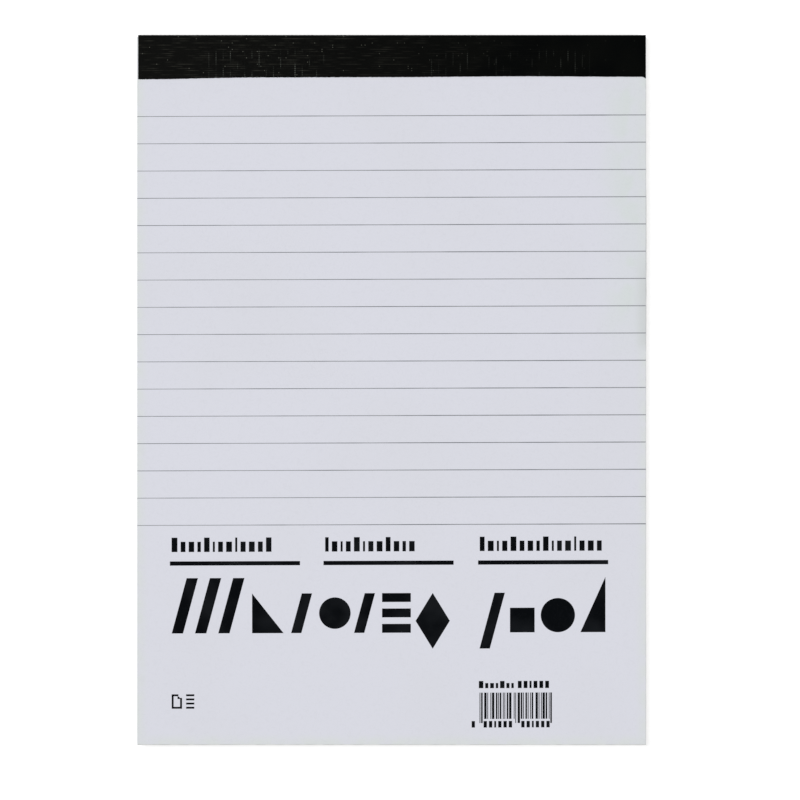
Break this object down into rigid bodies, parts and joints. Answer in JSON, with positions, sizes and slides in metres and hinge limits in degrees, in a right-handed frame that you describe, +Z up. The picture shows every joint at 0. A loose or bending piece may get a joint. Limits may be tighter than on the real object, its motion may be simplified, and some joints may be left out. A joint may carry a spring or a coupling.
{
  "type": "writing pad",
  "caption": "Head-bound A5 writing pad: printed paper cover that turns over the head, ruled page block, grey back board and a black cloth-look tape folded round the head.",
  "frame": {"origin": "under the middle of the whole pad, on the surface that it lies on", "axes": "+X across the pad to the right, +Y along the pad towards its bound head, +Z up out of the front cover"},
  "size_m": [0.149, 0.2076, 0.0087],
  "materials": {
    "binding_tape": "satin",
    "head_glue": "matte",
    "page_paper": "matte",
    "grey_board": "matte",
    "cover_paper": "matte"
  },
  "bodies": {
    "pad": {"binding_tape": "binding_tape", "head_glue": "head_glue", "page_block": "page_paper", "back_board": "grey_board", "cover_bound_strip": "cover_paper"},
    "cover": {"front_cover": "cover_paper"}
  },
  "joints": [
    {"name": "cover_hinge", "type": "hinge", "parent": "pad", "child": "cover", "pos_m": [0, 0.09056, 0.00865], "axis": [-1, 0, 0], "range_deg": [0, 178]}
  ]
}
